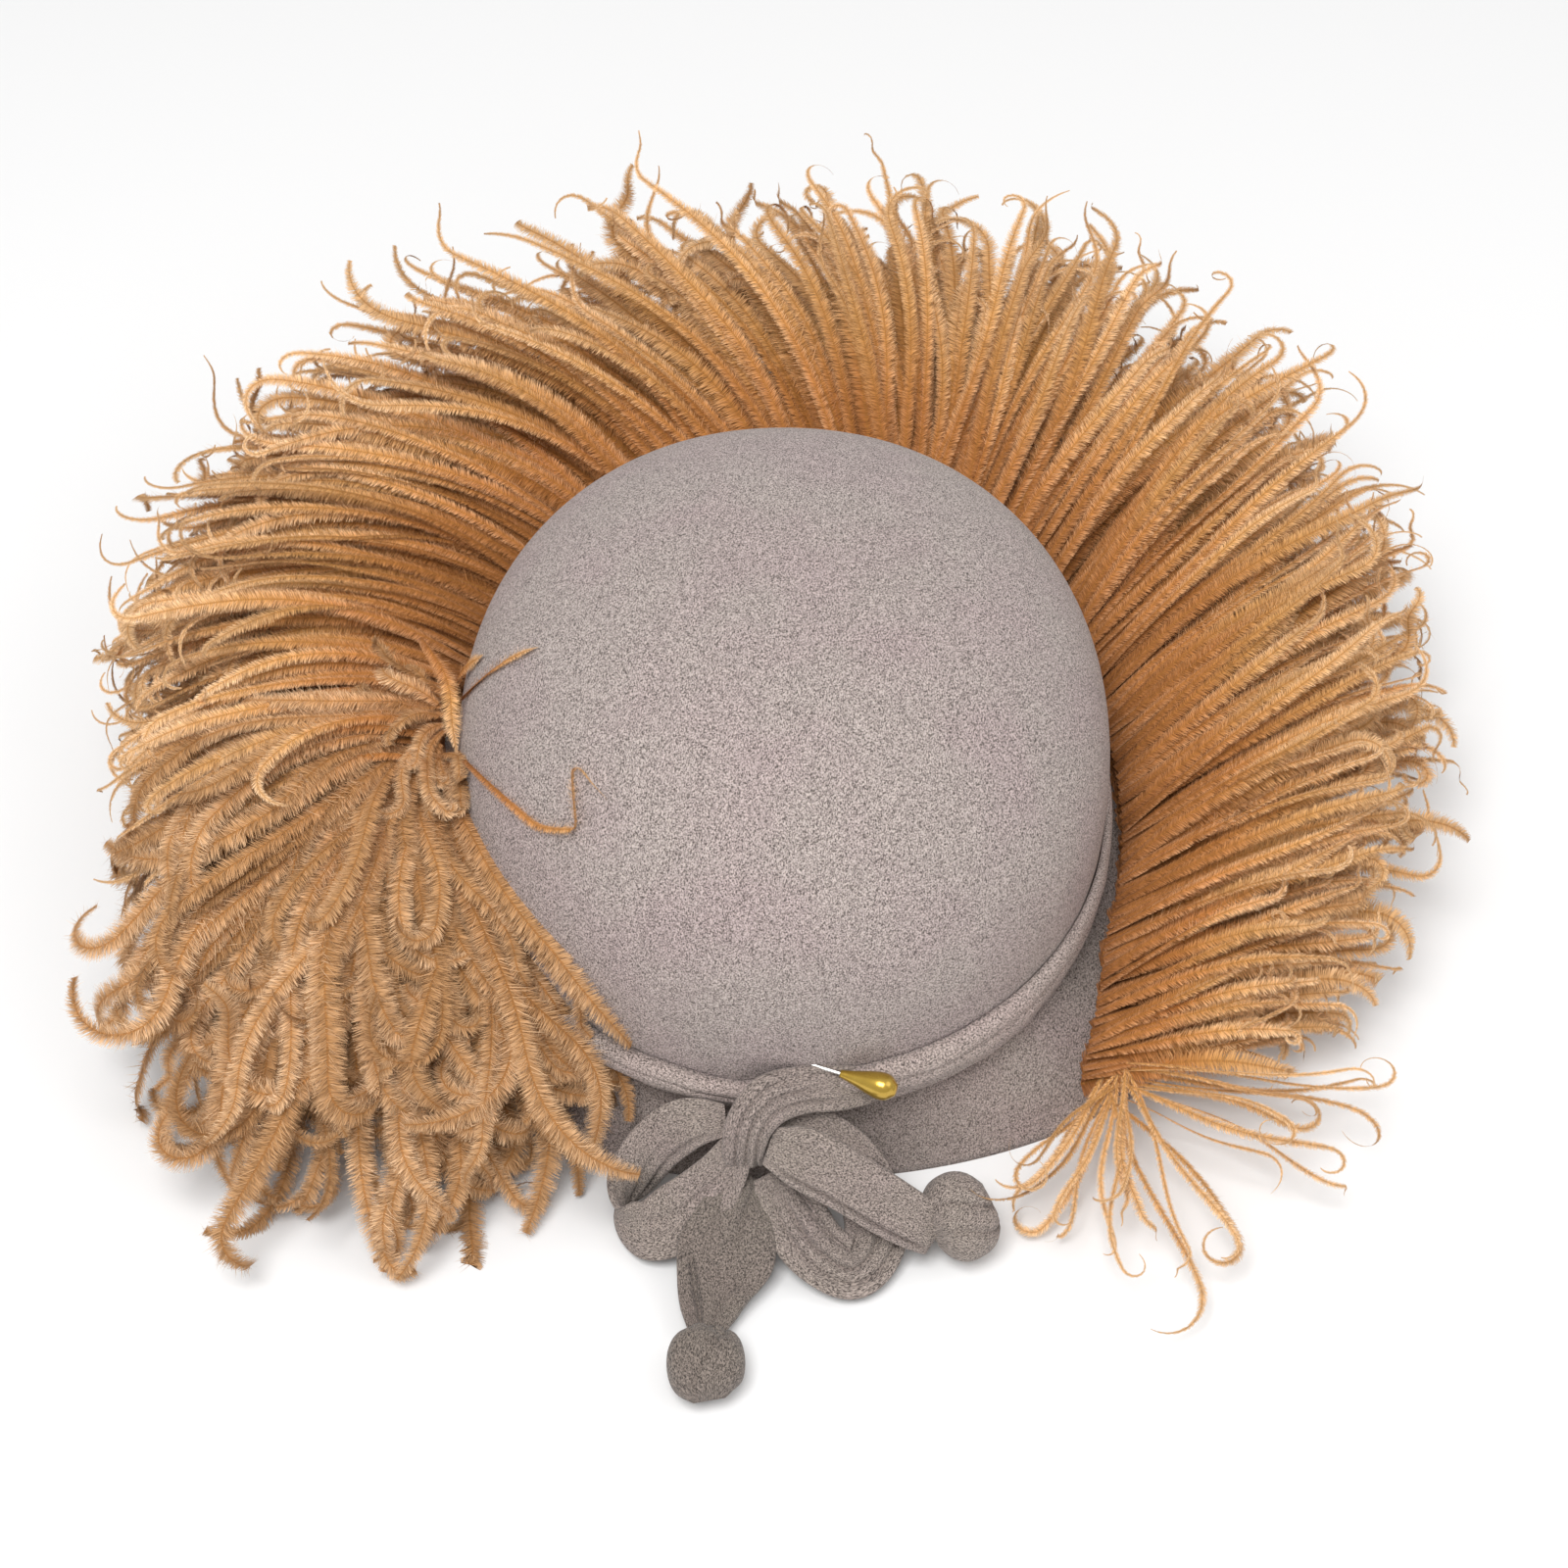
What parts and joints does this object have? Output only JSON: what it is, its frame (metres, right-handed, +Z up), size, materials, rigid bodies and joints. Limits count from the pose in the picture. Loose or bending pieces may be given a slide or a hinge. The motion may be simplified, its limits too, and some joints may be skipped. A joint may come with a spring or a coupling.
{
  "type": "feathered hat",
  "caption": "Soft domed crepe hat with a bell brim, a sash knotted in a bow at the front, a teardrop hatpin and two long curled plumes laid round the crown.",
  "frame": {"origin": "the middle of the hat's outline in plan, on the surface that the rim rests on", "axes": "+Z up, -Y towards the bow at the front, +X towards the wearer's left, the picture's right"},
  "size_m": [0.3838, 0.386, 0.131],
  "materials": {
    "crown_crepe": "matte pebbled crepe",
    "brim_crepe": "matte pebbled crepe",
    "sash_crepe": "matte pebbled crepe",
    "bow_crepe": "matte pebbled crepe",
    "steel": "bright drawn steel",
    "gold_pearl": "gold pearl lacquer",
    "feather": "soft curled barbs, dark at the root and pale at the tip"
  },
  "bodies": {
    "root": {"crown": "crown_crepe", "brim": "brim_crepe", "sash": "sash_crepe", "bow_knot": "bow_crepe", "bow_loop_left": "bow_crepe", "bow_loop_right": "bow_crepe", "bow_tail_left": "bow_crepe", "bow_tail_right": "bow_crepe", "tail_knot_left": "bow_crepe", "tail_knot_right": "bow_crepe", "hat_pin": "steel", "pin_pearl": "gold_pearl", "plume_right": "feather", "plume_left": "feather"}
  },
  "joints": []
}
